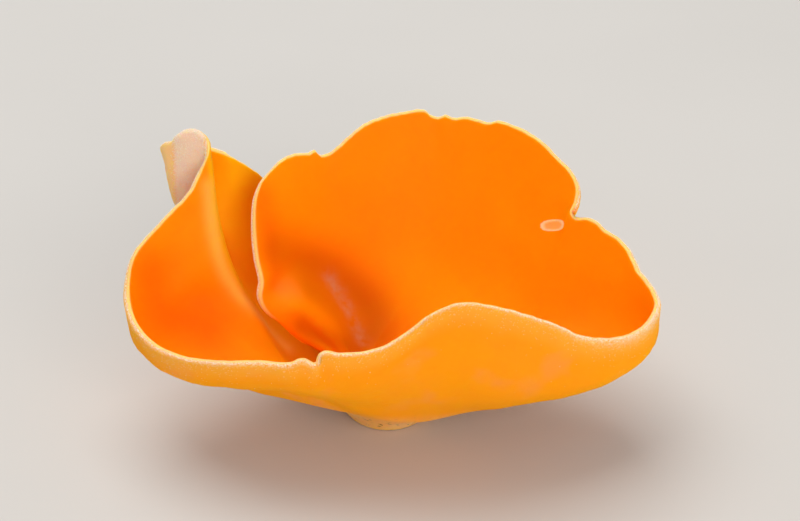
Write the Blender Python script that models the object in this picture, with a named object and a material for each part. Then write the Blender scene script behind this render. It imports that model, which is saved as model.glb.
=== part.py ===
"""An orange peel fungus: one thin, brittle cup, split down one side and standing on a small foot.

The cup is drawn as one sheet, its inner face. Every line across the sheet runs from the middle of the
floor, through a floor ring, a waist ring and a shoulder ring, to the margin. Two free edges close the
split: the big lobe's edge stands inside the cup, and the small lobe passes behind it. The flesh is laid
on the outside of the sheet, and the foot is joined to it from below.

Sizes are in millimetres and are turned to metres by MM. X is to the right, Y to the back, Z up, and the
origin is the middle of the flat spot that the cup rests on.
"""

import math

import bmesh
import bpy
import numpy as np

MM = 0.001

# The middle of the floor's inner face.
POLE = (0.8, -1.5, 4.6)

# The flesh at the margin and in the walls, and the share of the way out over which it thins.
MARGIN_FLESH = 1.1
WALL_FLESH = 1.5
THINNING = 0.6

# The foot: the radius of the flat spot, the share of the way out where its top meets the floor, how far
# its top lies under the floor's inner face, and its side as shares of the height and of the way out.
SPOT_RADIUS = 5.6
FOOT_TOP = 0.25
FOOT_SINK = 0.75
FOOT_SIDE = [
    (0.0, 0.0),
    (0.08, 0.09),
    (0.3, 0.22),
    (0.55, 0.42),
    (0.8, 0.7),
    (1.0, 1.0),
]
FOOT_CAP = (0.17, 0.09, 0.0)

# The margin, walked clockwise as seen from above, from the top of the big lobe's free edge.
CORNER = [
    (-19.2, 12.5, 33.5),
    (-18.4, 13.7, 34.2),
    (-16.6, 15.7, 35.4),
    (-14.9, 17.3, 35.8),
    (-12.9, 18.5, 35.6),
]
NICK = [
    (-11.8, 19.2, 35.2),
    (-11.2, 19.6, 35.5),
    (-10.2, 20.0, 34.4),
    (-9.2, 20.5, 34.3),
]
BACK = [
    (-7.4, 21.4, 35.3),
    (-5.7, 22.5, 36.5),
    (-3.3, 23.7, 38.0),
    (-0.5, 25.0, 38.6),
    (3.0, 26.1, 38.9),
    (6.2, 26.5, 38.9),
]
BITES = [
    (6.9, 26.5, 38.2),
    (8.3, 26.4, 37.9),
    (9.1, 26.3, 38.3),
    (10.7, 26.1, 37.8),
    (12.3, 25.8, 38.2),
    (14.2, 25.4, 37.9),
    (16.3, 24.7, 37.8),
    (17.0, 24.4, 38.2),
]
SHOULDER = [
    (19.4, 23.4, 38.0),
    (22.4, 21.5, 37.3),
    (24.8, 19.7, 36.1),
    (26.6, 17.9, 34.8),
    (28.3, 16.2, 33.7),
    (29.3, 14.2, 32.0),
]
NOTCH = [
    (28.9, 12.7, 30.2),
    (28.3, 11.9, 29.0),
    (29.1, 11.6, 27.9),
    (30.8, 11.1, 28.1),
]
RIGHT_END = [
    (32.3, 10.3, 27.8),
    (33.3, 9.5, 27.0),
    (34.7, 8.5, 26.6),
    (36.2, 7.1, 25.8),
    (38.0, 2.7, 23.7),
    (39.5, -0.3, 22.8),
    (40.2, -3.2, 22.1),
    (38.7, -7.5, 21.3),
    (34.2, -13.1, 22.0),
    (28.0, -16.5, 24.4),
]
FRONT = [
    (24.3, -18.1, 27.2),
    (19.3, -19.6, 30.0),
    (14.7, -20.6, 31.9),
    (10.5, -21.1, 32.6),
    (6.6, -21.1, 30.9),
    (2.9, -21.1, 27.7),
    (-0.8, -21.1, 25.2),
    (-6.5, -21.0, 24.2),
    (-9.2, -21.0, 24.4),
]
FRONT_NOTCH = [
    (-9.8, -21.0, 23.7),
    (-10.1, -20.9, 22.4),
    (-11.4, -21.0, 23.2),
    (-12.4, -21.0, 23.2),
    (-13.2, -20.9, 22.7),
]
SMALL_LOBE = [
    (-18.0, -20.3, 22.4),
    (-24.5, -18.4, 21.2),
    (-30.8, -14.1, 19.7),
    (-34.0, -11.3, 19.7),
    (-36.6, -8.1, 20.6),
    (-38.6, -1.9, 23.5),
    (-38.0, 1.5, 26.9),
    (-35.0, 4.5, 29.8),
    (-32.0, 6.5, 32.3),
    (-29.6, 8.3, 34.4),
    (-27.9, 11.1, 37.2),
]
PLEAT = [
    (-27.0, 12.5, 39.1),
    (-27.0, 14.2, 40.3),
    (-28.2, 15.3, 41.1),
    (-30.0, 16.1, 41.2),
    (-31.9, 16.6, 39.9),
    (-32.8, 17.2, 38.5),
    (-33.7, 17.8, 38.1),
    (-34.3, 18.8, 37.0),
    (-33.6, 20.0, 36.0),
    (-31.8, 19.8, 36.0),
    (-29.6, 18.6, 36.6),
    (-27.0, 17.0, 37.0),
]
HIDDEN = [
    (-24.8, 16.4, 36.5),
    (-22.5, 17.9, 34.4),
    (-20.5, 19.5, 32.0),
    (-18.3, 21.3, 29.0),
    (-15.0, 23.2, 26.2),
    (-11.2, 24.5, 23.3),
]
MARGIN = (
    CORNER + NICK + BACK + BITES + SHOULDER + NOTCH + RIGHT_END
    + FRONT + FRONT_NOTCH + SMALL_LOBE + PLEAT + HIDDEN
)

# Three more rings of points, by the distance along the margin above them.
FLOOR_RING = [
    (0.0, (-7.6, 1.9, 6.2)),
    (11.0, (-5.9, 4.2, 6.5)),
    (19.0, (-4.4, 5.6, 6.3)),
    (30.0, (-2.0, 7.1, 6.2)),
    (48.0, (2.7, 7.3, 6.0)),
    (65.0, (6.5, 5.7, 5.8)),
    (76.0, (8.9, 3.7, 5.6)),
    (87.0, (10.5, 0.9, 5.2)),
    (99.0, (10.7, -2.5, 4.9)),
    (111.0, (9.7, -5.6, 4.9)),
    (126.0, (6.6, -8.4, 5.4)),
    (143.0, (2.0, -10.0, 6.1)),
    (159.0, (-2.2, -9.8, 6.8)),
    (174.0, (-5.4, -8.3, 6.8)),
    (189.0, (-8.6, -6.6, 6.8)),
    (200.0, (-10.8, -4.6, 6.2)),
    (214.0, (-12.2, -1.8, 5.7)),
    (228.0, (-12.2, 0.2, 5.5)),
    (241.0, (-10.6, 1.1, 5.6)),
    (259.7, (-7.6, 1.9, 6.2)),
]
WAIST_RING = [
    (0.0, (-16.1, 1.5, 15.0)),
    (11.0, (-10.8, 9.5, 15.0)),
    (19.0, (-4.2, 13.2, 12.6)),
    (30.0, (4.8, 15.5, 12.8)),
    (48.0, (14.8, 13.0, 12.2)),
    (65.0, (20.0, 8.5, 10.8)),
    (76.0, (24.0, 3.5, 10.0)),
    (87.0, (27.6, -2.8, 9.5)),
    (99.0, (23.0, -9.8, 10.0)),
    (126.0, (7.8, -15.0, 12.8)),
    (143.0, (-3.7, -14.5, 11.8)),
    (159.0, (-13.2, -13.3, 13.6)),
    (174.0, (-24.5, -8.8, 12.2)),
    (189.0, (-28.5, -3.0, 12.0)),
    (200.0, (-26.5, 2.5, 14.8)),
    (214.0, (-22.0, 6.0, 17.0)),
    (220.0, (-21.6, 8.2, 16.2)),
    (228.0, (-21.4, 10.0, 14.6)),
    (236.0, (-18.8, 11.2, 12.4)),
    (246.0, (-14.0, 11.0, 9.6)),
    (259.7, (-9.8, 8.8, 6.6)),
]
SHOULDER_RING = [
    (0.0, (-19.3, 4.2, 23.2)),
    (11.0, (-11.2, 15.5, 24.2)),
    (19.0, (-5.0, 19.0, 23.5)),
    (30.0, (4.6, 22.0, 24.5)),
    (48.0, (18.7, 18.8, 23.5)),
    (65.0, (25.2, 11.0, 18.5)),
    (76.0, (32.5, 5.2, 15.5)),
    (87.0, (38.6, -4.4, 15.0)),
    (99.0, (31.2, -12.6, 14.2)),
    (111.0, (20.8, -17.2, 18.2)),
    (126.0, (9.4, -19.3, 21.5)),
    (143.0, (-3.7, -18.8, 17.0)),
    (159.0, (-16.2, -17.6, 16.8)),
    (174.0, (-29.3, -12.4, 14.8)),
    (189.0, (-36.4, -4.2, 16.0)),
    (200.0, (-32.8, 3.0, 20.2)),
    (214.0, (-25.6, 7.2, 26.0)),
    (220.0, (-25.6, 10.8, 26.4)),
    (227.0, (-31.0, 14.6, 26.6)),
    (235.0, (-25.6, 14.4, 25.6)),
    (245.0, (-19.0, 16.8, 21.0)),
    (259.7, (-10.5, 18.5, 14.5)),
]
RING_SHARES = (0.0, 0.28, 0.5, 0.75, 1.0)

# The split. Both free edges part at its root: the share of the way out, and the place.
ROOT = (0.28, (-7.6, 1.9, 6.2))
BIG_EDGE = [
    ROOT,
    (0.31, (-8.6, 2.6, 8.2)),
    (0.36, (-10.6, 2.4, 10.0)),
    (0.43, (-13.6, 1.8, 12.4)),
    (0.5, (-16.1, 1.5, 15.0)),
    (0.56, (-18.0, 1.3, 16.7)),
    (0.63, (-19.1, 1.7, 19.0)),
    (0.7, (-18.8, 2.8, 21.4)),
    (0.78, (-19.6, 5.0, 24.3)),
    (0.86, (-20.1, 7.4, 28.0)),
    (0.94, (-20.0, 10.3, 31.6)),
    (1.0, (-19.2, 12.5, 33.5)),
]
SMALL_EDGE = [
    ROOT,
    (0.31, (-7.9, 2.8, 5.3)),
    (0.36, (-8.6, 4.2, 4.8)),
    (0.43, (-9.3, 6.5, 5.2)),
    (0.5, (-9.8, 8.8, 6.6)),
    (0.75, (-10.5, 18.5, 14.5)),
    (1.0, (-11.2, 24.5, 23.3)),
]

# How far along the margin each free edge draws the sheet with it, and the closed floor before the root.
EDGE_REACH = 6.0
SEAM_REACH = 24.0

# The mesh: rings of faces across the sheet, the share of the way out of the first, the widest step along
# the margin, the sides of the foot, and what is close enough to be one point, on the floor and elsewhere.
RINGS = 20
FIRST_RING = 0.13
COLUMN_STEP = 2.6
FOOT_SIDES = 40
SAME_POINT = 0.01
SAME_FLOOR_POINT = 0.8
SHARPEST_SMOOTH_EDGE = math.radians(50)

FLESH_COLOUR = (1.0, 0.25, 0.01, 1.0)
FLESH_ROUGHNESS = 0.6

# Soft folds in the big lobe beside the split: distances along the margin, the share of the way out that
# the fold has there, how far it pushes the sheet, and its width as a share.
HUMP = (
    (0.0, 4.0, 8.0, 14.0),
    (0.56, 0.52, 0.43, 0.34),
    [(0.0, 0.0, 0.0), (0.4, -1.4, 1.0), (0.4, -1.2, 0.8), (0.0, 0.0, 0.0)],
    0.10,
)
VALLEY = (
    (0.0, 6.0, 12.0, 20.0, 28.0),
    (0.74, 0.68, 0.57, 0.46, 0.36),
    [(0.0, 0.0, 0.0), (-0.5, 0.8, -0.6), (-0.3, 1.0, -0.8), (-0.2, 0.8, -0.8), (0.0, 0.0, 0.0)],
    0.09,
)


def smooth_curve(stations, points, at):
    """Points of a smooth curve through the given ones, at any stations, with hardly any overshoot."""
    stations = np.asarray(stations, float)
    points = np.asarray(points, float)
    span = np.diff(stations)[:, None]
    chord = np.diff(points, axis=0) / span
    slope = np.empty_like(points)
    slope[0], slope[-1] = chord[0], chord[-1]
    slope[1:-1] = (chord[:-1] * span[1:] + chord[1:] * span[:-1]) / (span[:-1] + span[1:])
    at = np.clip(np.asarray(at, float), stations[0], stations[-1])
    i = np.clip(np.searchsorted(stations, at, side="right") - 1, 0, len(stations) - 2)
    t = ((at - stations[i]) / span[i, 0])[..., None]
    h = span[i]
    return (
        (2 * t**3 - 3 * t**2 + 1) * points[i]
        + (t**3 - 2 * t**2 + t) * h * slope[i]
        + (3 * t**2 - 2 * t**3) * points[i + 1]
        + (t**3 - t**2) * h * slope[i + 1]
    )


def margin_stations():
    """How far along the margin each of its points lies, in millimetres."""
    steps = np.linalg.norm(np.diff(np.array(MARGIN), axis=0), axis=1)
    return np.concatenate([[0.0], np.cumsum(steps)])


def sheet(along, out):
    """Points of the inner face, for distances along the margin and shares of the way out to it."""
    stations = margin_stations()
    rings = [np.broadcast_to(POLE, along.shape + (3,))]
    for ring in (FLOOR_RING, WAIST_RING, SHOULDER_RING):
        rings.append(smooth_curve([s for s, _ in ring], [p for _, p in ring], along))
    rings.append(smooth_curve(stations, MARGIN, along))
    weights = smooth_curve(RING_SHARES, np.eye(len(RING_SHARES)), out)
    points = sum(weights[..., [i]] * ring for i, ring in enumerate(rings))
    plain = []
    for end in (0, -1):
        ends = [POLE] + [ring[end][1] for ring in (FLOOR_RING, WAIST_RING, SHOULDER_RING)] + [MARGIN[end]]
        plain.append(smooth_curve(RING_SHARES, ends, out))
    parted = out > ROOT[0]
    reach = np.where(parted, EDGE_REACH, SEAM_REACH)
    for edge, end in ((BIG_EDGE, 0), (SMALL_EDGE, -1)):
        free = smooth_curve([s for s, _ in edge], [p for _, p in edge], out)
        drawn = np.where(parted[..., None], free, (plain[0] + plain[1]) / 2)
        near = np.exp(-(((along - stations[end]) / reach) ** 2))[..., None]
        points = points + near * (drawn - plain[end])
    for places, shares, pushes, width in (HUMP, VALLEY):
        line = np.interp(along, places, shares)
        push = smooth_curve(places, pushes, along)
        points = points + np.exp(-(((out - line) / width) ** 2))[..., None] * push
    return points


def flesh(out):
    """How thick the flesh is: thinner towards the margin."""
    return MARGIN_FLESH + (WALL_FLESH - MARGIN_FLESH) * np.clip((1 - out) / THINNING, 0, 1)


def grid_lines():
    """Where the columns and the rings of the grid run: a column at each margin point, and some between."""
    stations = margin_stations()
    columns = [0.0]
    for start, stop in zip(stations[:-1], stations[1:]):
        parts = max(1, round((stop - start) / COLUMN_STEP))
        columns += list(np.linspace(start, stop, parts + 1)[1:])
    rings = np.concatenate([[0.0], np.linspace(FIRST_RING, 1.0, RINGS)])
    return np.array(columns), rings


def mesh_object(name, bm):
    mesh = bpy.data.meshes.new(name)
    bm.to_mesh(mesh)
    bm.free()
    made = bpy.data.objects.new(name, mesh)
    bpy.context.scene.collection.objects.link(made)
    return made


def cup_sheet():
    """The inner face as an open mesh, with its flesh as a vertex group."""
    columns, rings = grid_lines()
    bm = bmesh.new()
    bmesh.ops.create_grid(bm, x_segments=len(columns) - 1, y_segments=RINGS, size=1.0)
    spots = (np.array([v.co[:2] for v in bm.verts]) + 1) / 2
    along = columns[np.rint(spots[:, 0] * (len(columns) - 1)).astype(int)]
    out = rings[np.rint(spots[:, 1] * RINGS).astype(int)]
    share = bm.verts.layers.float.new("flesh")
    for vert, place, depth in zip(bm.verts, sheet(along, out), flesh(out)):
        vert.co = place * MM
        vert[share] = depth / WALL_FLESH
    floor = [vert for vert, way in zip(bm.verts, out) if way < ROOT[0]]
    bmesh.ops.remove_doubles(bm, verts=floor, dist=SAME_FLOOR_POINT * MM)
    bmesh.ops.remove_doubles(bm, verts=bm.verts, dist=SAME_POINT * MM)
    bmesh.ops.recalc_face_normals(bm, faces=bm.faces)
    lowest = min(bm.faces, key=lambda f: f.calc_center_median().z)
    if lowest.normal.z < 0:
        bmesh.ops.reverse_faces(bm, faces=bm.faces)
    shares = [v[share] for v in bm.verts]
    cup = mesh_object("fruit_body", bm)
    group = cup.vertex_groups.new(name="flesh")
    for i, depth in enumerate(shares):
        group.add([i], float(depth), "REPLACE")
    return cup


def foot():
    """The short foot, as a closed mesh from the flat spot up into the flesh of the floor."""
    along = np.linspace(0.0, margin_stations()[-1], FOOT_SIDES + 1)
    sink = np.array([0.0, 0.0, FOOT_SINK])
    top = sheet(along, np.full_like(along, FOOT_TOP)) - sink
    outward = top[:, :2] - POLE[:2]
    outward /= np.linalg.norm(outward, axis=1, keepdims=True)
    spot = np.column_stack([SPOT_RADIUS * outward, np.zeros_like(along)])
    rings = [spot + (top - spot) * (way, way, height) for height, way in FOOT_SIDE]
    rings += [sheet(along, np.full_like(along, way)) - sink for way in FOOT_CAP]
    bm = bmesh.new()
    bmesh.ops.create_grid(bm, x_segments=FOOT_SIDES, y_segments=len(rings) - 1, size=1.0)
    for vert in bm.verts:
        column = round((vert.co.x + 1) / 2 * FOOT_SIDES)
        row = round((vert.co.y + 1) / 2 * (len(rings) - 1))
        vert.co = rings[row][column] * MM
    bmesh.ops.remove_doubles(bm, verts=bm.verts, dist=SAME_POINT * MM)
    bmesh.ops.holes_fill(bm, edges=bm.edges)
    bmesh.ops.recalc_face_normals(bm, faces=bm.faces)
    return mesh_object("foot", bm)


def flesh_material():
    """The waxy orange flesh."""
    material = bpy.data.materials.new("orange_flesh")
    material.use_nodes = True
    shader = material.node_tree.nodes["Principled BSDF"]
    shader.inputs["Base Color"].default_value = FLESH_COLOUR
    shader.inputs["Roughness"].default_value = FLESH_ROUGHNESS
    shader.inputs["Metallic"].default_value = 0.0
    return material


def fruit_body():
    """The whole fungus: the sheet, thickened outwards, with its foot joined on."""
    body = cup_sheet()
    thicken = body.modifiers.new("flesh", "SOLIDIFY")
    thicken.thickness = WALL_FLESH * MM
    thicken.offset = -1.0
    thicken.vertex_group = "flesh"
    base = foot()
    join = body.modifiers.new("foot", "BOOLEAN")
    join.operation = "UNION"
    join.solver = "EXACT"
    join.use_self = True
    join.object = base
    bpy.context.view_layer.update()
    mesh = bpy.data.meshes.new_from_object(body.evaluated_get(bpy.context.evaluated_depsgraph_get()))
    bpy.data.objects.remove(base)
    body.modifiers.clear()
    body.data = mesh
    mesh.shade_smooth()
    mesh.set_sharp_from_angle(angle=SHARPEST_SMOOTH_EDGE)
    mesh.materials.clear()
    mesh.materials.append(flesh_material())
    return body


def main():
    for old in list(bpy.data.objects):
        bpy.data.objects.remove(old)
    fruit_body()


main()
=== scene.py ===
"""The looks of an orange peel fungus: one thin, waxy cup, split down one side, with a frosted margin.

The fine cup follows the same sheet as the solid, with finer steps. Its inner face is waxy and bare, its
outer face is paler and mealy, and loose frost sits on the margin, on the outer face below it and on the
back of the pleat. Sizes are in millimetres and are turned to metres by MM. X is to the right, Y to the
back, Z up, and the origin is the middle of the flat spot that the cup rests on.
"""

import math

import bmesh
import bpy
import numpy as np
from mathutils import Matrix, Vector


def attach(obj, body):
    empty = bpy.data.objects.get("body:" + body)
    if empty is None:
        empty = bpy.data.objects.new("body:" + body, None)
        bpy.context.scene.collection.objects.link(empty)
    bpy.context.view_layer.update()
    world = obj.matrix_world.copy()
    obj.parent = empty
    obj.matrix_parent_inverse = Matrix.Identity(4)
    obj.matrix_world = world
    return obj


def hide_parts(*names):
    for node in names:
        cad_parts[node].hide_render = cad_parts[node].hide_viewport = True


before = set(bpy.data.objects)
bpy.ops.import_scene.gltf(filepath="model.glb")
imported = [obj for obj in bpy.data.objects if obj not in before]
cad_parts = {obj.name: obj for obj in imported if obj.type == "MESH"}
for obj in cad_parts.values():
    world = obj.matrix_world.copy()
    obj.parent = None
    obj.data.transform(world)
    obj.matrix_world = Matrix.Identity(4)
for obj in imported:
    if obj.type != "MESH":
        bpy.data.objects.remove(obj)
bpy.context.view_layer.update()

MM = 0.001

# The middle of the floor's inner face.
POLE = (0.8, -1.5, 4.6)

# The flesh at the margin and in the walls, and the share of the way out over which it thins.
MARGIN_FLESH = 1.1
WALL_FLESH = 1.5
THINNING = 0.6

# The foot: the radius of the flat spot, and its side as shares of the height and of the way out.
SPOT_RADIUS = 5.6
FOOT_SIDE = [
    (0.0, 0.0),
    (0.08, 0.09),
    (0.3, 0.22),
    (0.55, 0.42),
    (0.8, 0.7),
    (1.0, 1.0),
]

# The margin, walked clockwise as seen from above, from the top of the big lobe's free edge.
CORNER = [
    (-19.2, 12.5, 33.5),
    (-18.4, 13.7, 34.2),
    (-16.6, 15.7, 35.4),
    (-14.9, 17.3, 35.8),
    (-12.9, 18.5, 35.6),
]
NICK = [
    (-11.8, 19.2, 35.2),
    (-11.2, 19.6, 35.5),
    (-10.2, 20.0, 34.4),
    (-9.2, 20.5, 34.3),
]
BACK = [
    (-7.4, 21.4, 35.3),
    (-5.7, 22.5, 36.5),
    (-3.3, 23.7, 38.0),
    (-0.5, 25.0, 38.6),
    (3.0, 26.1, 38.9),
    (6.2, 26.5, 38.9),
]
BITES = [
    (6.9, 26.5, 38.2),
    (8.3, 26.4, 37.9),
    (9.1, 26.3, 38.3),
    (10.7, 26.1, 37.8),
    (12.3, 25.8, 38.2),
    (14.2, 25.4, 37.9),
    (16.3, 24.7, 37.8),
    (17.0, 24.4, 38.2),
]
SHOULDER = [
    (19.4, 23.4, 38.0),
    (22.4, 21.5, 37.3),
    (24.8, 19.7, 36.1),
    (26.6, 17.9, 34.8),
    (28.3, 16.2, 33.7),
    (29.3, 14.2, 32.0),
]
NOTCH = [
    (28.9, 12.7, 30.2),
    (28.3, 11.9, 29.0),
    (29.1, 11.6, 27.9),
    (30.8, 11.1, 28.1),
]
RIGHT_END = [
    (32.3, 10.3, 27.8),
    (33.3, 9.5, 27.0),
    (34.7, 8.5, 26.6),
    (36.2, 7.1, 25.8),
    (38.0, 2.7, 23.7),
    (39.5, -0.3, 22.8),
    (40.2, -3.2, 22.1),
    (38.7, -7.5, 21.3),
    (34.2, -13.1, 22.0),
    (28.0, -16.5, 24.4),
]
FRONT = [
    (24.3, -18.1, 27.2),
    (19.3, -19.6, 30.0),
    (14.7, -20.6, 31.9),
    (10.5, -21.1, 32.6),
    (6.6, -21.1, 30.9),
    (2.9, -21.1, 27.7),
    (-0.8, -21.1, 25.2),
    (-6.5, -21.0, 24.2),
    (-9.2, -21.0, 24.4),
]
FRONT_NOTCH = [
    (-9.8, -21.0, 23.7),
    (-10.1, -20.9, 22.4),
    (-11.4, -21.0, 23.2),
    (-12.4, -21.0, 23.2),
    (-13.2, -20.9, 22.7),
]
SMALL_LOBE = [
    (-18.0, -20.3, 22.4),
    (-24.5, -18.4, 21.2),
    (-30.8, -14.1, 19.7),
    (-34.0, -11.3, 19.7),
    (-36.6, -8.1, 20.6),
    (-38.6, -1.9, 23.5),
    (-38.0, 1.5, 26.9),
    (-35.0, 4.5, 29.8),
    (-32.0, 6.5, 32.3),
    (-29.6, 8.3, 34.4),
    (-27.9, 11.1, 37.2),
]
PLEAT = [
    (-27.0, 12.5, 39.1),
    (-27.0, 14.2, 40.3),
    (-28.2, 15.3, 41.1),
    (-30.0, 16.1, 41.2),
    (-31.9, 16.6, 39.9),
    (-32.8, 17.2, 38.5),
    (-33.7, 17.8, 38.1),
    (-34.3, 18.8, 37.0),
    (-33.6, 20.0, 36.0),
    (-31.8, 19.8, 36.0),
    (-29.6, 18.6, 36.6),
    (-27.0, 17.0, 37.0),
]
HIDDEN = [
    (-24.8, 16.4, 36.5),
    (-22.5, 17.9, 34.4),
    (-20.5, 19.5, 32.0),
    (-18.3, 21.3, 29.0),
    (-15.0, 23.2, 26.2),
    (-11.2, 24.5, 23.3),
]
MARGIN = (
    CORNER + NICK + BACK + BITES + SHOULDER + NOTCH + RIGHT_END
    + FRONT + FRONT_NOTCH + SMALL_LOBE + PLEAT + HIDDEN
)

# Three more rings of points, by the distance along the margin above them.
FLOOR_RING = [
    (0.0, (-7.6, 1.9, 6.2)),
    (11.0, (-5.9, 4.2, 6.5)),
    (19.0, (-4.4, 5.6, 6.3)),
    (30.0, (-2.0, 7.1, 6.2)),
    (48.0, (2.7, 7.3, 6.0)),
    (65.0, (6.5, 5.7, 5.8)),
    (76.0, (8.9, 3.7, 5.6)),
    (87.0, (10.5, 0.9, 5.2)),
    (99.0, (10.7, -2.5, 4.9)),
    (111.0, (9.7, -5.6, 4.9)),
    (126.0, (6.6, -8.4, 5.4)),
    (143.0, (2.0, -10.0, 6.1)),
    (159.0, (-2.2, -9.8, 6.8)),
    (174.0, (-5.4, -8.3, 6.8)),
    (189.0, (-8.6, -6.6, 6.8)),
    (200.0, (-10.8, -4.6, 6.2)),
    (214.0, (-12.2, -1.8, 5.7)),
    (228.0, (-12.2, 0.2, 5.5)),
    (241.0, (-10.6, 1.1, 5.6)),
    (259.7, (-7.6, 1.9, 6.2)),
]
WAIST_RING = [
    (0.0, (-16.1, 1.5, 15.0)),
    (11.0, (-10.8, 9.5, 15.0)),
    (19.0, (-4.2, 13.2, 12.6)),
    (30.0, (4.8, 15.5, 12.8)),
    (48.0, (14.8, 13.0, 12.2)),
    (65.0, (20.0, 8.5, 10.8)),
    (76.0, (24.0, 3.5, 10.0)),
    (87.0, (27.6, -2.8, 9.5)),
    (99.0, (23.0, -9.8, 10.0)),
    (126.0, (7.8, -15.0, 12.8)),
    (143.0, (-3.7, -14.5, 11.8)),
    (159.0, (-13.2, -13.3, 13.6)),
    (174.0, (-24.5, -8.8, 12.2)),
    (189.0, (-28.5, -3.0, 12.0)),
    (200.0, (-26.5, 2.5, 14.8)),
    (214.0, (-22.0, 6.0, 17.0)),
    (220.0, (-21.6, 8.2, 16.2)),
    (228.0, (-21.4, 10.0, 14.6)),
    (236.0, (-18.8, 11.2, 12.4)),
    (246.0, (-14.0, 11.0, 9.6)),
    (259.7, (-9.8, 8.8, 6.6)),
]
SHOULDER_RING = [
    (0.0, (-19.3, 4.2, 23.2)),
    (11.0, (-11.2, 15.5, 24.2)),
    (19.0, (-5.0, 19.0, 23.5)),
    (30.0, (4.6, 22.0, 24.5)),
    (48.0, (18.7, 18.8, 23.5)),
    (65.0, (25.2, 11.0, 18.5)),
    (76.0, (32.5, 5.2, 15.5)),
    (87.0, (38.6, -4.4, 15.0)),
    (99.0, (31.2, -12.6, 14.2)),
    (111.0, (20.8, -17.2, 18.2)),
    (126.0, (9.4, -19.3, 21.5)),
    (143.0, (-3.7, -18.8, 17.0)),
    (159.0, (-16.2, -17.6, 16.8)),
    (174.0, (-29.3, -12.4, 14.8)),
    (189.0, (-36.4, -4.2, 16.0)),
    (200.0, (-32.8, 3.0, 20.2)),
    (214.0, (-25.6, 7.2, 26.0)),
    (220.0, (-25.6, 10.8, 26.4)),
    (227.0, (-31.0, 14.6, 26.6)),
    (235.0, (-25.6, 14.4, 25.6)),
    (245.0, (-19.0, 16.8, 21.0)),
    (259.7, (-10.5, 18.5, 14.5)),
]
RING_SHARES = (0.0, 0.28, 0.5, 0.75, 1.0)

# The split. Both free edges part at its root: the share of the way out, and the place.
ROOT = (0.28, (-7.6, 1.9, 6.2))
BIG_EDGE = [
    ROOT,
    (0.31, (-8.6, 2.6, 8.2)),
    (0.36, (-10.6, 2.4, 10.0)),
    (0.43, (-13.6, 1.8, 12.4)),
    (0.5, (-16.1, 1.5, 15.0)),
    (0.56, (-18.0, 1.3, 16.7)),
    (0.63, (-19.1, 1.7, 19.0)),
    (0.7, (-18.8, 2.8, 21.4)),
    (0.78, (-19.6, 5.0, 24.3)),
    (0.86, (-20.1, 7.4, 28.0)),
    (0.94, (-20.0, 10.3, 31.6)),
    (1.0, (-19.2, 12.5, 33.5)),
]
SMALL_EDGE = [
    ROOT,
    (0.31, (-7.9, 2.8, 5.3)),
    (0.36, (-8.6, 4.2, 4.8)),
    (0.43, (-9.3, 6.5, 5.2)),
    (0.5, (-9.8, 8.8, 6.6)),
    (0.75, (-10.5, 18.5, 14.5)),
    (1.0, (-11.2, 24.5, 23.3)),
]

# How far along the margin each free edge draws the sheet with it, and the closed floor before the root.
EDGE_REACH = 6.0
SEAM_REACH = 24.0

# Soft folds in the big lobe beside the split: distances along the margin, the share of the way out that
# the fold has there, how far it pushes the sheet, and its width as a share.
HUMP = (
    (0.0, 4.0, 8.0, 14.0),
    (0.56, 0.52, 0.43, 0.34),
    [(0.0, 0.0, 0.0), (0.4, -1.4, 1.0), (0.4, -1.2, 0.8), (0.0, 0.0, 0.0)],
    0.10,
)
VALLEY = (
    (0.0, 6.0, 12.0, 20.0, 28.0),
    (0.74, 0.68, 0.57, 0.46, 0.36),
    [(0.0, 0.0, 0.0), (-0.5, 0.8, -0.6), (-0.3, 1.0, -0.8), (-0.2, 0.8, -0.8), (0.0, 0.0, 0.0)],
    0.09,
)

# The fine mesh: the step along the margin, the rings below and above the root of the split, the steps
# that turn a free edge round, and a share of the way out close to the margin, to find its slope.
STEP = 0.62
FLOOR_RINGS = 18
WALL_RINGS = 58
TURN_STEPS = 5
JUST_INSIDE = 0.98

# What is close enough to be one point, on the floor and anywhere, how far below the root the floor's two
# ends are surely closed, as a share of the way out, and a length that only keeps a division from zero.
SAME_FLOOR_POINT = 0.22
SAME_POINT = 0.01
CLOSED_BELOW = 0.01
TINY = 1e-9

# The share of the floor, from its middle, that is the flat spot underneath, and the band of the way out,
# by its middle and half its width, where the foot's flare into the wall is smoothed.
SPOT_SHARE = 0.35
FLARE = (0.3, 0.1)
FLARE_PASSES = 12

# Relief without a pattern is a sum of waves. The asked width is a wave's length times a number between
# these two, drawn for each wave.
WAVES = 20
WAVE_SPREAD = (0.6, 1.3)

# Unevenness of the grown surface: how high and how wide its swells and its pebbles are. The outer swells
# are narrower than the inner ones by a factor. All of it rises with the distance from the free edge, and
# the pebbles also with the share of the way out. Each kind has its own seed.
SWELL_INSIDE = 0.05
SWELL_OUTSIDE = 0.14
SWELL_WIDTH = 9.0
OUTER_SWELLS_FINER = 1.6
PEBBLE_HEIGHT = 0.035
PEBBLE_WIDTH = 1.1
UNEVEN_FROM = (0.3, 3.0)
PEBBLED_FROM = (0.3, 0.55)
INNER_SWELL_SEED = 5
OUTER_SWELL_SEED = 7
PEBBLE_SEED = 9

# The crest of the margin dips here and there: how deep, how wide each dip is, and how far down it reaches.
CREST_DIP = 0.12
CREST_WIDTH = 1.7
CREST_REACH = 1.6
CREST_SEED = 3

# The healed graze on the big lobe's right wall: where it lies, half its length and width, its tilt, and
# how square its ends are. Its rim is swollen, round a pit as deep as the rim is high. The place and width
# of the rim and the fade of the pit are shares of the way from the middle of the graze to its edge.
SCAR = (60.8, 0.864)
SCAR_HALF = (2.35, 0.85)
SCAR_TILT = math.radians(63)
SCAR_SQUARENESS = 2.6
SCAR_RIM = 0.07
SCAR_RING = (0.95, 0.22)
SCAR_PIT = (0.5, 0.9)

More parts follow.
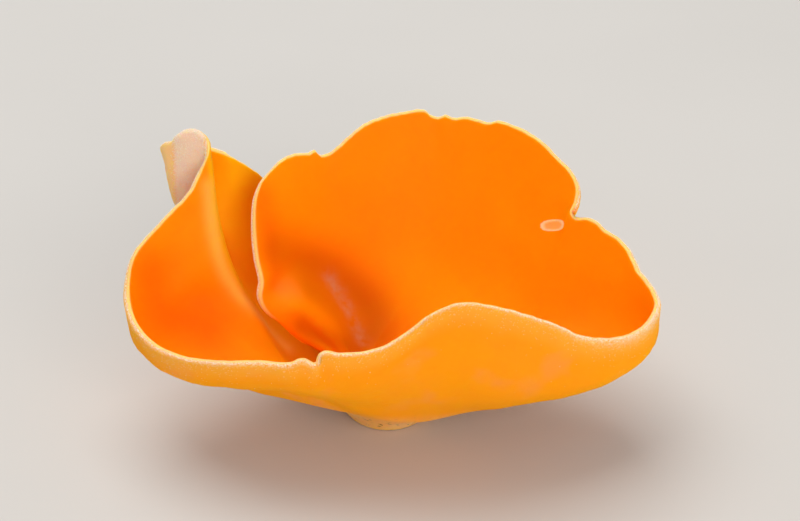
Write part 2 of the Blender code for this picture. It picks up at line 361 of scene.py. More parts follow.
# Small steps along the margin and out to it, to find how the sheet lies under the graze, how far off the
# sheet a point no longer belongs to it, and the way given to such points.
SCAR_STEPS = (0.5, 0.01)
SCAR_DEPTH = (1.0, 3.0)
NOT_SCARRED = 9.0

# The small lobe's ridge, from its top to the floor, as distances along the margin and shares of the way out.
RIDGE_LINE = [
    (212.7, 0.93),
    (212.6, 0.815),
    (212.4, 0.716),
    (212.0, 0.569),
    (214.0, 0.476),
    (224.0, 0.421),
    (232.8, 0.377),
]

# Painted light and shade on the inner face, as tinted stretches laid over each other in this order: a line
# across the face, given as the ridge is, how far it spreads in mm, its strength and its colour. The distance
# to a line is measured from a number of spots on it.
TINTS = {
    # Painted light: the lower middle of the back wall made brighter and yellower.
    "painted_glow": ([(30.0, 0.52), (38.0, 0.47), (48.0, 0.44)], 7.0, 0.5, "ffb000"),
    # Painted shade on the small lobe's lower left wall, under its rim.
    "dusk_shade": ([(196.8, 0.877), (196.0, 0.71), (197.6, 0.513)], 4.6, 0.8, "ee6c00"),
    "rim_shade": ([(1.5, 0.93), (2.4, 0.846), (2.6, 0.74), (3.0, 0.66)], 2.6, 0.6, "f06800"),
    # Painted shade: the big lobe's valley beside the hump made darker and redder.
    "valley_fold_shade": (
        [(3.6, 0.76), (10.0, 0.64), (16.4, 0.56), (21.2, 0.46), (25.0, 0.37)],
        4.2, 0.6, "bc5400",
    ),
    "valley_shade": ([(10.0, 0.52), (14.5, 0.445), (18.0, 0.37)], 3.4, 0.5, "bc5400"),
    # Painted shade deep in the big lobe's fold, low beside the split.
    "deep_fold_shade": ([(3.0, 0.45), (4.5, 0.39), (12.0, 0.34), (18.0, 0.31)], 2.4, 0.6, "c05400"),
    # Painted shade on the small lobe's floor beside the crevice.
    "gutter_shade": (
        [(233.5, 0.66), (232.8, 0.593), (231.5, 0.47), (237.5, 0.39), (243.0, 0.31)],
        2.2, 0.35, "d9880c",
    ),
    # Painted highlight along the small lobe's ridge, where light falls on it.
    "ridge": (RIDGE_LINE, 1.2, 0.75, "ffb84c"),
    "hump_light": ([(4.4, 0.59), (6.0, 0.575)], 1.8, 0.35, "ff8a3c"),
    # Painted reflection: a pale, mottled streak where the wet surface mirrors the light.
    "wet_reflection": ([(14.0, 0.57), (16.4, 0.476), (18.8, 0.39), (20.8, 0.347)], 1.1, 0.55, "cc9c78"),
}
TINT_LINE_STEPS = 40

# Past the ridge, the hollow behind it gets painted light, yellower, as of light shining through the thin
# wall
# from behind: how far along the margin that takes to come in full, by the share of the way out, where it
# fades out on the floor, and its strength and colour.
BEHIND_FADE = ((0.4, 7.0), (0.8, 1.6))
FLOOR_FADE = (0.29, 0.42)
BACKLIGHT_TINT = (0.7, "ffb40a")

# How far down the outer face the frost lies, in mm, by the distance along the margin. There is none low
# down on the free edges, below these shares of the way out.
FROST_REACH = (
    (0.0, 0.25),
    (30.0, 0.25),
    (62.0, 0.2),
    (78.0, 0.5),
    (90.0, 1.6),
    (101.0, 1.3),
    (112.0, 0.4),
    (124.0, 0.15),
    (146.0, 0.2),
    (153.0, 0.5),
    (165.0, 0.3),
    (195.0, 0.35),
    (208.0, 0.4),
    (216.0, 5.0),
    (224.0, 12.0),
    (236.0, 12.0),
    (243.0, 2.0),
    (259.7, 0.6),
)
BARE_BELOW = (0.5, 0.6)

# Loose frost: the number of grains, the span of their radii, and the seed of their scatter. Real meal is
# finer than this, about 0.03 mm, and would not show. The corners of a grain are pulled in or out, and its
# whiteness is the frost's under it, but no less than the dullest, times a number drawn for it.
MARGIN_GRAINS = (8000, (0.035, 0.065), 11)
WALL_GRAINS = (9500, (0.03, 0.06), 12)
PLEAT_GRAINS = (8000, (0.035, 0.075), 13)
GRAIN_STRETCH = (0.75, 1.25)
GRAIN_WHITENESS = (0.6, 1.3)
DULLEST_GRAIN = 0.45

# The margin's grains keep this close to its crest. Stray grains lie further down the wall, and are this
# much sparser.
CREST_BAND = 0.15
STRAY_REACH = 1.6
STRAY_SHARE = 0.35

# The frosted back of the pleat: where it comes in and goes along the margin, and where on the way out. A
# bare orange strip on it ends between these places along X.
PLEAT_ALONG = (213.0, 219.0, 237.0, 242.0)
PLEAT_ABOVE = (0.55, 0.8)
STRIP_EDGE = (-33.0, -32.2)

# Low down, the outer face turns pale between these heights.
PALE_BELOW = (2.0, 9.0)

# How wide the patterns of the materials are. The clouds, the patches and the mottles of the painted
# reflection on the wet streak are about as wide as on such a cup. The cells of the wax and of the meal are
# about 0.02 mm wide and too fine to show, and so are most specks of soil, so these three are drawn coarser.
WAX_CLOUD = 14.0
WAX_GRAIN = 0.4
REFLECTION_MOTTLES = 1.8
OUTER_CLOUD = 11.0
BLUSH_PATCHES = 7.0
PALE_PATCHES = 5.0
MEAL_GRAIN = 0.35
SOIL_SPECKS = 0.8
PAPER_CLOUD = 60.0

# The places of the two kinds of flesh on the cup, and of the colour mix node's sockets.
INNER, OUTER = 0, 1
FACTOR, FIRST, SECOND, MIXED = 0, 6, 7, 2

# The studio, in metres and watts: the camera looks down by 30 degrees from a third of a metre away. Each
# lamp has its place, power, width and colour.
LOOK_AT = (0.00205, -0.0015, 0.0278)
CAMERA_DISTANCE = 0.3317
CAMERA_RISE = math.radians(30)
LENS = 100.0
SENSOR = 36.0
FLOOR_HALF = 3.0
ROOM_LIGHT = 0.5
ROOM_COLOUR = "eef0f4"
LAMPS = {
    "sky_lamp": ((-0.15, 0.25, 0.75), 5.2, 0.7, "ffffff"),
    "front_lamp": ((0.3, -0.7, 0.3), 4.0, 0.6, "fffaf2"),
}


def smooth_curve(stations, points, at):
    """Points of a smooth curve through the given ones, at any stations, with hardly any overshoot."""
    stations = np.asarray(stations, float)
    points = np.asarray(points, float)
    span = np.diff(stations)[:, None]
    chord = np.diff(points, axis=0) / span
    slope = np.empty_like(points)
    slope[0], slope[-1] = chord[0], chord[-1]
    slope[1:-1] = (chord[:-1] * span[1:] + chord[1:] * span[:-1]) / (span[:-1] + span[1:])
    at = np.clip(np.asarray(at, float), stations[0], stations[-1])
    i = np.clip(np.searchsorted(stations, at, side="right") - 1, 0, len(stations) - 2)
    t = ((at - stations[i]) / span[i, 0])[..., None]
    h = span[i]
    return (
        (2 * t**3 - 3 * t**2 + 1) * points[i]
        + (t**3 - 2 * t**2 + t) * h * slope[i]
        + (3 * t**2 - 2 * t**3) * points[i + 1]
        + (t**3 - t**2) * h * slope[i + 1]
    )


def margin_stations():
    """How far along the margin each of its points lies, in millimetres."""
    steps = np.linalg.norm(np.diff(np.array(MARGIN), axis=0), axis=1)
    return np.concatenate([[0.0], np.cumsum(steps)])


def sheet(along, out):
    """Points of the inner face, for distances along the margin and shares of the way out to it."""
    stations = margin_stations()
    rings = [np.broadcast_to(POLE, along.shape + (3,))]
    for ring in (FLOOR_RING, WAIST_RING, SHOULDER_RING):
        rings.append(smooth_curve([s for s, _ in ring], [p for _, p in ring], along))
    rings.append(smooth_curve(stations, MARGIN, along))
    weights = smooth_curve(RING_SHARES, np.eye(len(RING_SHARES)), out)
    points = sum(weights[..., [i]] * ring for i, ring in enumerate(rings))
    plain = []
    for end in (0, -1):
        ends = [POLE] + [ring[end][1] for ring in (FLOOR_RING, WAIST_RING, SHOULDER_RING)] + [MARGIN[end]]
        plain.append(smooth_curve(RING_SHARES, ends, out))
    parted = out > ROOT[0]
    reach = np.where(parted, EDGE_REACH, SEAM_REACH)
    for edge, end in ((BIG_EDGE, 0), (SMALL_EDGE, -1)):
        free = smooth_curve([s for s, _ in edge], [p for _, p in edge], out)
        drawn = np.where(parted[..., None], free, (plain[0] + plain[1]) / 2)
        near = np.exp(-(((along - stations[end]) / reach) ** 2))[..., None]
        points = points + near * (drawn - plain[end])
    for places, shares, pushes, width in (HUMP, VALLEY):
        line = np.interp(along, places, shares)
        push = smooth_curve(places, pushes, along)
        points = points + np.exp(-(((out - line) / width) ** 2))[..., None] * push
    return points


def flesh(out):
    """How thick the flesh is: thinner towards the margin."""
    return MARGIN_FLESH + (WALL_FLESH - MARGIN_FLESH) * np.clip((1 - out) / THINNING, 0, 1)


def arc(points, axis):
    """How far each point of a grid lies along one of the grid's ways, from its start, in millimetres."""
    steps = np.linalg.norm(np.diff(points, axis=axis), axis=2)
    return np.insert(np.cumsum(steps, axis=axis), 0, 0.0, axis=axis)


def swell(points, width, seed):
    """Smooth relief without a pattern, mostly from -1 to 1, with bumps of one width."""
    draw = np.random.default_rng(seed)
    waves = draw.normal(size=(WAVES, 3))
    spread = draw.uniform(*WAVE_SPREAD, WAVES)
    waves *= (2 * math.pi / width * spread / np.linalg.norm(waves, axis=1))[:, None]
    phases = draw.uniform(0, 2 * math.pi, WAVES)
    return np.sin(points @ waves.T + phases).sum(axis=-1) / math.sqrt(WAVES)


def smooth_step(low, high, value):
    """A soft rise from 0 at low to 1 at high."""
    t = np.clip((value - low) / (high - low), 0, 1)
    return t * t * (3 - 2 * t)


def lattice():
    """Distances along the margin and shares of the way out for a fine grid, closest at its free edges."""
    turn = MARGIN_FLESH / 2 * (1 - np.cos(np.linspace(0, math.pi / 2, TURN_STEPS + 1)))
    last = margin_stations()[-1]
    inner = np.linspace(turn[-1], last - turn[-1], round(last / STEP))
    columns = np.concatenate([turn[:-1], inner, last - turn[-2::-1]])
    rim = np.ones_like(columns)
    last_stretch = np.linalg.norm(sheet(columns, rim) - sheet(columns, JUST_INSIDE * rim), axis=1)
    per_share = last_stretch / (1 - JUST_INSIDE)
    top = 1 - turn[-1] / per_share
    floor = np.linspace(0, ROOT[0], FLOOR_RINGS + 1)[:-1, None] * rim
    wall = ROOT[0] + np.linspace(0, 1, WALL_RINGS + 1)[:, None] * (top - ROOT[0])
    edge = 1 - turn[-2::-1, None] / per_share
    out = np.concatenate([floor, wall, edge]).T
    return np.broadcast_to(columns[:, None], out.shape), out


def away(points):
    """Unit vectors out of the cup, square to the sheet, the same on both sides of the closed floor."""
    normal = np.cross(np.gradient(points, axis=1), np.gradient(points, axis=0))
    closed = slice(0, FLOOR_RINGS + 1)
    normal[[0, -1], closed] = normal[0, closed] + normal[-1, closed]
    normal[:, 0] = normal[:, 1].sum(axis=0)
    return normal / np.linalg.norm(normal, axis=2, keepdims=True)


def to_margin(points):
    """How far each point of the sheet lies from the margin, in millimetres."""
    return arc(points[:, ::-1], 1)[:, ::-1]


def to_free_edge(points):
    """How far each point of the sheet lies from the nearest free edge, in millimetres."""
    to_side = np.minimum(arc(points, 0), arc(points[::-1], 0)[::-1])
    way = arc(points, 1)
    below_root = np.clip(way[:, [FLOOR_RINGS]] - way, 0, None)
    return np.minimum(to_margin(points), np.hypot(to_side, below_root))


def near_line(points, line, width):
    """How near each point lies to a line drawn on the sheet: 1 on the line, fading to 0."""
    drawn = smooth_curve(np.linspace(0, 1, len(line)), line, np.linspace(0, 1, TINT_LINE_STEPS))
    nearest = np.full(points.shape[:2], np.inf)
    for spot in sheet(drawn[:, 0], drawn[:, 1]):
        nearest = np.minimum(nearest, np.linalg.norm(points - spot, axis=2))
    return np.exp(-((nearest / width) ** 2))


def scar_way(points):
    """How far each point lies from the middle of the healed graze: 0 in its middle, 1 on its rim."""
    along, out = SCAR
    step_along, step_out = SCAR_STEPS
    middle, beside, above = sheet(
        np.array([along, along + step_along, along]),
        np.array([out, out, out + step_out]),
    )
    beside = (beside - middle) / np.linalg.norm(beside - middle)
    above = above - middle
    above -= above.dot(beside) * beside
    above /= np.linalg.norm(above)
    flat = np.stack([(points - middle) @ beside, (points - middle) @ above])
    depth = np.abs((points - middle) @ np.cross(beside, above))
    cosine, sine = math.cos(SCAR_TILT), math.sin(SCAR_TILT)
    length, width = np.einsum("ij,j...->i...", [[cosine, sine], [-sine, cosine]], flat)
    way = (
        np.abs(length / SCAR_HALF[0]) ** SCAR_SQUARENESS
        + np.abs(width / SCAR_HALF[1]) ** SCAR_SQUARENESS
    ) ** (1 / SCAR_SQUARENESS)
    return np.minimum(way + smooth_step(*SCAR_DEPTH, depth) * NOT_SCARRED, NOT_SCARRED)


def crest_dips(points, edge, out):
    """How far each point of the sheet goes down where the crest of the margin dips."""
    upward = np.gradient(points, axis=1)
    upward /= np.linalg.norm(upward, axis=2, keepdims=True) + TINY
    near_crest = (1 - smooth_step(0.0, CREST_REACH, edge)) * (out > ROOT[0])
    depth = CREST_DIP / 2 * (1 + np.clip(swell(points, CREST_WIDTH, CREST_SEED), -1, 1))
    return upward * (depth * near_crest * (to_margin(points) < CREST_REACH))[..., None]


def put_on_foot(outer, out):
    """Draws the outer face of the floor down to the foot's side and the flat spot."""
    top = outer[:, [FLOOR_RINGS]]
    outward = top[..., :2] - POLE[:2]
    outward = outward / np.linalg.norm(outward, axis=2, keepdims=True)
    spot = np.concatenate([SPOT_RADIUS * outward, np.zeros_like(top[..., :1])], axis=2)
    share = out[:, :FLOOR_RINGS + 1, None] / ROOT[0]
    up = np.clip((share - SPOT_SHARE) / (1 - SPOT_SHARE), 0, 1)[..., 0]
    side = smooth_curve(np.linspace(0, 1, len(FOOT_SIDE)), FOOT_SIDE, up)
    height, way = side[..., [0]], side[..., [1]]
    on_side = spot + (top - spot) * np.concatenate([way, way, height], axis=2)
    outer[:, :FLOOR_RINGS + 1] = np.where(share < SPOT_SHARE, spot * share / SPOT_SHARE, on_side)


def behind_ridge(along, out):
    """How far each point is behind the small lobe's ridge: 0 up to the ridge, rising to 1."""
    places, shares = np.array(RIDGE_LINE[::-1]).T
    past_ridge = along - np.interp(out, shares, places)
    fade = np.interp(out, *zip(*BEHIND_FADE))
    return smooth_step(0.0, 1.0, past_ridge / fade) * smooth_step(*FLOOR_FADE, out)


def on_pleat(along, out):
    """How much each point belongs to the frosted back of the pleat, from 0 to 1."""
    start, full_on, ends, gone = PLEAT_ALONG
    return (
        smooth_step(start, full_on, along)
        * (1 - smooth_step(ends, gone, along))
        * smooth_step(*PLEAT_ABOVE, out)
    )


def grow_skins():
    """The inner and the outer face as grids of points, and what the finish needs to know at each point."""
    along, out = lattice()
    smooth = sheet(along, out)
    edge = to_free_edge(smooth)
    points = smooth - crest_dips(smooth, edge, out)
    scar = scar_way(points)
    covered = smooth_step(*BARE_BELOW, out)
    reach = np.interp(along, *zip(*FROST_REACH))
    traits = {
        "out": out,
        "edge": edge,
        "covered": covered,
        "scar": scar,
        "frost": np.exp(-((edge / reach) ** 2)) * covered,
        "pleat": on_pleat(along, out),
        "behind": behind_ridge(along, out),
    }
    for name, (line, width, _, _) in TINTS.items():
        traits[name] = near_line(points, line, width)

    full = flesh(out) / 2
    half = full * np.sqrt(1 - (1 - np.clip(edge / full, 0, 1)) ** 2)
    uneven = smooth_step(*UNEVEN_FROM, edge)
    place, width = SCAR_RING
    rim = np.exp(-(((scar - place) / width) ** 2)) * SCAR_RIM
    pit = (1 - smooth_step(*SCAR_PIT, scar)) * SCAR_RIM
    inner_swell = SWELL_INSIDE * swell(points, SWELL_WIDTH, INNER_SWELL_SEED) * uneven
    outer_swell = (1 + swell(points, SWELL_WIDTH / OUTER_SWELLS_FINER, OUTER_SWELL_SEED)) / 2
    pebbles = (1 + swell(points, PEBBLE_WIDTH, PEBBLE_SEED)) * smooth_step(*PEBBLED_FROM, out)
    relief = (SWELL_OUTSIDE * outer_swell + PEBBLE_HEIGHT * pebbles) * uneven
    outwards = away(smooth)
    inner = points + outwards * (full - half - inner_swell - rim + pit)[..., None]
    outer = points + outwards * (full + half - relief)[..., None]
    put_on_foot(outer, out)
    return inner, outer, traits


def finished(name, bm, materials):
    """A mesh object at the origin, shaded smooth, that rides on the body and hides the solid fruit body."""
    mesh = bpy.data.meshes.new(name)
    bm.to_mesh(mesh)
    bm.free()
    mesh.shade_smooth()
    for material in materials:
        mesh.materials.append(material)
    made = bpy.data.objects.new(name, mesh)
    bpy.context.scene.collection.objects.link(made)
    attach(made, "root")
    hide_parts("fruit_body")


def add_skin(bm, points, traits, kind):
    """One face of the cup: a grid laid on the given points, with the traits on its vertices.

    The new grid runs from -1 to 1 both ways, which says where each vertex belongs among the points.
    """
    columns, rings = traits["out"].shape
    made = bmesh.ops.create_grid(bm, x_segments=columns - 1, y_segments=rings - 1, size=1.0)["verts"]
    layers = [(bm.verts.layers.float[name], values) for name, values in traits.items()]
    for vert in made:
        spot = (
            round((vert.co.x + 1) / 2 * (columns - 1)),
            round((vert.co.y + 1) / 2 * (rings - 1)),
        )
        vert.co = points[spot] * MM
        for layer, values in layers:
            vert[layer] = values[spot]
    for face in {face for vert in made for face in vert.link_faces}:
        face.material_index = kind
    return made


def cup(inner, outer, traits, inner_flesh, outer_flesh):
    """The whole fungus, one closed mesh: the waxy inner face and the mealy outer face, joined all round."""
    bm = bmesh.new()
    for name in traits:
        bm.verts.layers.float.new(name)
    way = bm.verts.layers.float["out"]
    for kind, points in ((INNER, inner), (OUTER, outer)):
        made = add_skin(bm, points, traits, kind)
        middle_of_cup = [vert for vert in made if vert[way] < ROOT[0] - CLOSED_BELOW]
        bmesh.ops.remove_doubles(bm, verts=middle_of_cup, dist=SAME_FLOOR_POINT * MM)
    middle, half_width = FLARE
    flare = [
        vert for vert in bm.verts
        if abs(vert[way] - middle) < half_width and vert.link_faces[0].material_index == OUTER
    ]
    for _ in range(FLARE_PASSES):
        bmesh.ops.smooth_vert(
            bm, verts=flare, factor=0.5, use_axis_x=True, use_axis_y=True, use_axis_z=True,
        )
    bmesh.ops.remove_doubles(bm, verts=bm.verts, dist=SAME_POINT * MM)
    bmesh.ops.recalc_face_normals(bm, faces=bm.faces)
    finished("waxy_cup", bm, [inner_flesh, outer_flesh])


def heaped_grains(count):
    """A bmesh with a number of round grains, all in one place, and how many corners each of them has."""
    bm = bmesh.new()
    bmesh.ops.create_icosphere(bm, subdivisions=1, radius=1.0)
    corners = len(bm.verts)
    while len(bm.verts) < count * corners:
        bmesh.ops.duplicate(bm, geom=bm.verts[:] + bm.edges[:] + bm.faces[:])
    bm.verts.ensure_lookup_table()
    bmesh.ops.delete(bm, geom=bm.verts[count * corners:], context="VERTS")
    return bm, corners


def granules(name, kind, outer, frost, weight, material):
    """Loose frost: tiny grains sunk half into the outer face, thickest where the weight is high."""
    count, radii, seed = kind
    draw = np.random.default_rng(seed)
    corner = outer[:-1, :-1]
    beside = outer[1:, :-1] - corner
    above = outer[:-1, 1:] - corner
    area = np.linalg.norm(np.cross(beside, above), axis=2)
    chance = (area * weight[:-1, :-1]).ravel()
    cell = draw.choice(chance.size, size=count, p=chance / chance.sum())
    shares = draw.uniform(0, 1, (2, count, 1))
    middle = (
        corner.reshape(-1, 3)[cell]
        + shares[0] * beside.reshape(-1, 3)[cell]
        + shares[1] * above.reshape(-1, 3)[cell]
    )
    radius = draw.uniform(*radii, (count, 1))
    bm, corners = heaped_grains(count)
    shape = np.array([vert.co for vert in bm.verts]).reshape(count, corners, 3)
    stretch = draw.uniform(*GRAIN_STRETCH, (count, corners, 1))
    placed = (middle[:, None] + shape * stretch * radius[:, None]).reshape(-1, 3)
    whiteness = np.maximum(frost[:-1, :-1].ravel()[cell], DULLEST_GRAIN)
    whiteness = np.repeat(whiteness * draw.uniform(*GRAIN_WHITENESS, count), corners)
    layer = bm.verts.layers.float.new("frost")
    for vert, place, value in zip(bm.verts, placed, whiteness):
        vert.co = place * MM
        vert[layer] = value
    finished(name, bm, [material])


def linear(colour):
    """A hex sRGB colour as the linear values that a shader takes."""
    values = [int(colour[i:i + 2], 16) / 255 for i in (0, 2, 4)]
    return [v / 12.92 if v <= 0.04045 else ((v + 0.055) / 1.055) ** 2.4 for v in values] + [1.0]


def node(tree, kind, feeds, **settings):
    """Adds one node, with its settings, and what feeds each of its sockets: a value or another's output."""
    made = tree.nodes.new(kind)
    for name, value in settings.items():
        setattr(made, name, value)
    for socket, source in feeds.items():
        if isinstance(source, bpy.types.NodeSocket):
            tree.links.new(source, made.inputs[socket])
        else:
            made.inputs[socket].default_value = source
    return made


def new_material(name):
    """An empty node material and its tree."""
    material = bpy.data.materials.new(name)
    material.use_nodes = True
    material.node_tree.nodes.clear()
    return material, material.node_tree


def waxy_inner_flesh():
    """Fungus flesh, grown as a close layer of upright cells that bear the spores.

    That makes it smooth and matte, like wax. Light soaks into it and comes out deep orange. Painted shade
    makes it darker and redder in the folds, and painted light makes it yellower low on the back wall and in
    the hollow behind the small lobe's ridge, with painted highlights on that ridge and on the hump and a
    painted reflection on a wet streak. It is palest on the crest of the margin and on the healed graze.
    """
    material, tree = new_material("waxy_inner_flesh")
    place = node(tree, "ShaderNodeTexCoord", {}).outputs["Object"]
    cloud = node(
        tree, "ShaderNodeTexNoise",
        {"Vector": place, "Scale": 1 / (WAX_CLOUD * MM), "Detail": 2.0},
    ).outputs["Fac"]
    colour = node(
        tree, "ShaderNodeMix",
        {FACTOR: cloud, FIRST: linear("ff9602"), SECOND: linear("ff8b02")},
        data_type="RGBA",
    ).outputs[MIXED]

    # Mottles that break up the painted reflection along the wet streak.
    mottles = node(
        tree, "ShaderNodeTexNoise",
        {"Vector": place, "Scale": 1 / (REFLECTION_MOTTLES * MM), "Detail": 2.0},
    ).outputs["Fac"]
    reflection_mottling = node(
        tree, "ShaderNodeMapRange",
        {"Value": mottles, "From Min": 0.32, "From Max": 0.72},
    ).outputs["Result"]
    # Painted light and shade, laid over the flesh's colour one tint at a time.
    tints = {"behind": BACKLIGHT_TINT} | {name: tint[2:] for name, tint in TINTS.items()}
    for name, (strength, tint) in tints.items():
        share = node(tree, "ShaderNodeAttribute", {}, attribute_name=name).outputs["Fac"]
        if name == "wet_reflection":
            share = node(tree, "ShaderNodeMath", {0: share, 1: reflection_mottling}, operation="MULTIPLY").outputs[0]
        share = node(tree, "ShaderNodeMath", {0: share, 1: strength}, operation="MULTIPLY").outputs[0]
        colour = node(
            tree, "ShaderNodeMix",
            {FACTOR: share, FIRST: colour, SECOND: linear(tint)},
            data_type="RGBA",
        ).outputs[MIXED]

    scar = node(tree, "ShaderNodeAttribute", {}, attribute_name="scar").outputs["Fac"]
    swollen = node(
        tree, "ShaderNodeMapRange",
        {"Value": scar, "From Min": 0.6, "From Max": 0.9},
        interpolation_type="SMOOTHSTEP",
    ).outputs["Result"]
    healed = node(
        tree, "ShaderNodeMix",
        {FACTOR: swollen, FIRST: linear("ffb25c"), SECOND: linear("ffd09a")},
        data_type="RGBA",
    ).outputs[MIXED]
    scarred = node(
        tree, "ShaderNodeMapRange",
        {"Value": scar, "From Min": 1.12, "From Max": 1.0},
        interpolation_type="SMOOTHSTEP",
    ).outputs["Result"]
    edge = node(tree, "ShaderNodeAttribute", {}, attribute_name="edge").outputs["Fac"]
    covered = node(tree, "ShaderNodeAttribute", {}, attribute_name="covered").outputs["Fac"]
    crest = node(
        tree, "ShaderNodeMapRange",
        {"Value": edge, "From Min": 0.45, "From Max": 0.14},
        interpolation_type="SMOOTHSTEP",
    ).outputs["Result"]
    crest = node(tree, "ShaderNodeMath", {0: crest, 1: covered}, operation="MULTIPLY").outputs[0]
    for share, tint in ((scarred, healed), (crest, linear("ffc87c"))):
        colour = node(
            tree, "ShaderNodeMix",
            {FACTOR: share, FIRST: colour, SECOND: tint},
            data_type="RGBA",
        ).outputs[MIXED]

    grain = node(
        tree, "ShaderNodeTexNoise",
        {"Vector": place, "Scale": 1 / (WAX_GRAIN * MM), "Detail": 3.0},
    ).outputs["Fac"]
    bump = node(tree, "ShaderNodeBump", {"Strength": 0.12, "Distance": 0.05 * MM, "Height": grain})
    shader = node(
        tree, "ShaderNodeBsdfPrincipled",
        {
            "Base Color": colour,
            "Roughness": 0.55,
            "IOR": 1.4,
            "Specular IOR Level": 0.05,
            "Subsurface Weight": 0.9,
            "Subsurface Radius": (1.0, 0.55, 0.06),
            "Subsurface Scale": 1.8 * MM,
            "Normal": bump.outputs["Normal"],
        },
    )
    node(tree, "ShaderNodeOutputMaterial", {"Surface": shader.outputs["BSDF"]})
    return material


def mealy_outer_flesh():
    """The cup's barren outside, grown as a felt of short, blunt hairs.

    They scatter light, so it is paler and duller than the wax, and they whiten it near the margin and on
    the back of the pleat. It has a faint pink blush in patches, and low down it is pale and a bit soiled.
    """
    material, tree = new_material("mealy_outer_flesh")
    place = node(tree, "ShaderNodeTexCoord", {}).outputs["Object"]
    spot = node(tree, "ShaderNodeSeparateXYZ", {"Vector": place}).outputs
    edge, covered, frost, pleat = (
        node(tree, "ShaderNodeAttribute", {}, attribute_name=name).outputs["Fac"]
        for name in ("edge", "covered", "frost", "pleat")
    )
    cloud, blotch, meal, patches, grit = (
        node(
            tree, "ShaderNodeTexNoise",
            {"Vector": place, "Scale": 1 / (width * MM), "Detail": detail},
        ).outputs["Fac"]
        for width, detail in (
            (OUTER_CLOUD, 3.0),
            (BLUSH_PATCHES, 2.0),
            (MEAL_GRAIN, 2.0),
            (PALE_PATCHES, 3.0),
            (SOIL_SPECKS, 4.0),
        )
    )

    blush = node(
        tree, "ShaderNodeMapRange",
        {"Value": blotch, "From Min": 0.55, "From Max": 0.75, "To Max": 0.35},
        interpolation_type="SMOOTHSTEP",
    ).outputs["Result"]
    near_margin = node(
        tree, "ShaderNodeMapRange",
        {"Value": edge, "From Min": 5.0, "From Max": 0.5, "To Max": 0.5},
        interpolation_type="SMOOTHSTEP",
    ).outputs["Result"]
    speckle = node(
        tree, "ShaderNodeMapRange",
        {"Value": meal, "From Min": 0.35, "From Max": 0.65},
    ).outputs["Result"]
    past_strip = node(
        tree, "ShaderNodeMapRange",
        {"Value": spot["X"], "From Min": STRIP_EDGE[0] * MM, "From Max": STRIP_EDGE[1] * MM},
        interpolation_type="SMOOTHSTEP",
    ).outputs["Result"]
    low = node(
        tree, "ShaderNodeMapRange",
        {"Value": spot["Z"], "From Min": PALE_BELOW[1] * MM, "From Max": PALE_BELOW[0] * MM},
        interpolation_type="SMOOTHSTEP",
    ).outputs["Result"]
    speck = node(
        tree, "ShaderNodeMapRange",
        {"Value": grit, "From Min": 0.62, "From Max": 0.7},
    ).outputs["Result"]
    pale_margin, frosted, pale, soiled = (
        node(tree, "ShaderNodeMath", {0: share, 1: other}, operation="MULTIPLY").outputs[0]
        for share, other in ((near_margin, covered), (frost, speckle), (low, patches), (low, speck))
    )

    colour, pleat_back = (
        node(
            tree, "ShaderNodeMix",
            {FACTOR: share, FIRST: linear(first), SECOND: linear(second)},
            data_type="RGBA",
        ).outputs[MIXED]
        for share, first, second in ((cloud, "ff9e04", "ff9a1a"), (past_strip, "ffc886", "f8d8b8"))
    )
    for share, tint in (
        (blush, linear("fb9a54")),
        (pale_margin, linear("ffb648")),
        (frosted, linear("ffc986")),
        (pleat, pleat_back),
        (pale, linear("f8c98e")),
        (soiled, linear("8a5a2a")),
    ):
        colour = node(
            tree, "ShaderNodeMix",
            {FACTOR: share, FIRST: colour, SECOND: tint},
            data_type="RGBA",
        ).outputs[MIXED]

    bump = node(tree, "ShaderNodeBump", {"Strength": 0.35, "Distance": 0.08 * MM, "Height": meal})
    shader = node(
        tree, "ShaderNodeBsdfPrincipled",
        {
            "Base Color": colour,
            "Roughness": 0.7,
            "IOR": 1.4,
            "Specular IOR Level": 0.05,
            "Subsurface Weight": 0.9,
            "Subsurface Radius": (1.0, 0.55, 0.08),
            "Subsurface Scale": 1.8 * MM,
            "Normal": bump.outputs["Normal"],
        },
    )
    node(tree, "ShaderNodeOutputMaterial", {"Surface": shader.outputs["BSDF"]})
    return material


def loose_frost():
    """Swollen surface cells that came loose as meal: dull, creamy grains, yellower as they thin out."""
    material, tree = new_material("loose_frost")
    frost = node(tree, "ShaderNodeAttribute", {}, attribute_name="frost").outputs["Fac"]
    colour = node(
        tree, "ShaderNodeMix",
        {FACTOR: frost, FIRST: linear("ffa838"), SECOND: linear("fff0d8")},
        data_type="RGBA",
    ).outputs[MIXED]
    shader = node(
        tree, "ShaderNodeBsdfPrincipled",
        {"Base Color": colour, "Roughness": 0.85, "IOR": 1.4, "Specular IOR Level": 0.1},
    )
    node(tree, "ShaderNodeOutputMaterial", {"Surface": shader.outputs["BSDF"]})
    return material


def pale_paper():
    """Matte, uncoated paper, with a faint cloud so that it isn't dead flat."""
    material, tree = new_material("pale_paper")
    place = node(tree, "ShaderNodeTexCoord", {}).outputs["Object"]
    cloud = node(
        tree, "ShaderNodeTexNoise",
        {"Vector": place, "Scale": 1 / (PAPER_CLOUD * MM), "Detail": 2.0},
    ).outputs["Fac"]
    colour = node(
        tree, "ShaderNodeMix",
        {FACTOR: cloud, FIRST: linear("cbc7c1"), SECOND: linear("c6c2bc")},
        data_type="RGBA",
    ).outputs[MIXED]
    shader = node(tree, "ShaderNodeBsdfPrincipled", {"Base Color": colour, "Roughness": 0.9})
    node(tree, "ShaderNodeOutputMaterial", {"Surface": shader.outputs["BSDF"]})
    return material


def floor():
    """The surface that the cup rests on."""
    bm = bmesh.new()
    bmesh.ops.create_grid(bm, x_segments=1, y_segments=1, size=FLOOR_HALF)
    mesh = bpy.data.meshes.new("floor")
    bm.to_mesh(mesh)
    bm.free()
    mesh.materials.append(pale_paper())
    made = bpy.data.objects.new("floor", mesh)
    bpy.context.scene.collection.objects.link(made)


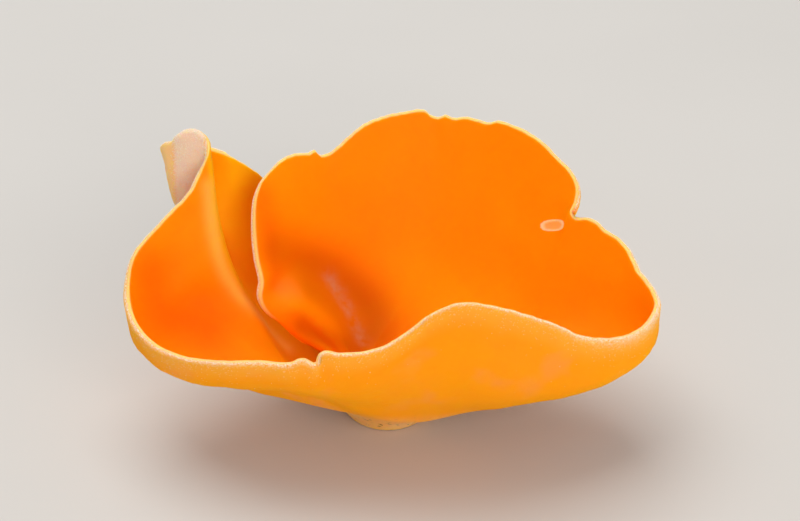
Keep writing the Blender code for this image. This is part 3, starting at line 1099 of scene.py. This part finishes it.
def aimed(thing, name, place, target):
    """Puts a lamp or a camera in the scene, looking from one place to another, both in metres."""
    made = bpy.data.objects.new(name, thing)
    made.location = place
    made.rotation_mode = "QUATERNION"
    made.rotation_quaternion = (Vector(target) - Vector(place)).to_track_quat("-Z", "Y")
    bpy.context.scene.collection.objects.link(made)
    return made


def soft_lamp(name, place, power, width, colour):
    """A large square lamp, for soft studio light."""
    lamp = bpy.data.lights.new(name, "AREA")
    lamp.energy = power
    lamp.size = width
    lamp.color = linear(colour)[:3]
    aimed(lamp, name, place, LOOK_AT)


def studio():
    """Pale floor, pale surroundings, soft light from above and behind, a weaker fill, and the camera."""
    floor()
    world = bpy.data.worlds.new("pale_room")
    world.use_nodes = True
    background = world.node_tree.nodes["Background"].inputs
    background["Color"].default_value = linear(ROOM_COLOUR)
    background["Strength"].default_value = ROOM_LIGHT
    bpy.context.scene.world = world
    for name, lamp in LAMPS.items():
        soft_lamp(name, *lamp)
    camera = bpy.data.cameras.new("camera")
    camera.lens = LENS
    camera.sensor_width = SENSOR
    back = Vector((0.0, -math.cos(CAMERA_RISE), math.sin(CAMERA_RISE)))
    place = Vector(LOOK_AT) + back * CAMERA_DISTANCE
    bpy.context.scene.camera = aimed(camera, "camera", place, LOOK_AT)
    bpy.context.scene.view_settings.view_transform = "Standard"


def main():
    inner, outer, traits = grow_skins()
    cup(inner, outer, traits, waxy_inner_flesh(), mealy_outer_flesh())

    edge, covered, pleat, frost = (traits[name] for name in ("edge", "covered", "pleat", "frost"))
    crest = np.exp(-((edge / CREST_BAND) ** 2)) * covered
    stray = np.exp(-edge / STRAY_REACH) * covered
    wall = (frost + STRAY_SHARE * stray) * (1 - pleat)
    pleat_back = pleat * smooth_step(*STRIP_EDGE, outer[..., 0])
    grains = loose_frost()
    granules("margin_frost", MARGIN_GRAINS, outer, frost, crest, grains)
    granules("wall_frost", WALL_GRAINS, outer, frost, wall, grains)
    granules("pleat_frost", PLEAT_GRAINS, outer, frost, pleat_back, grains)
    studio()


main()
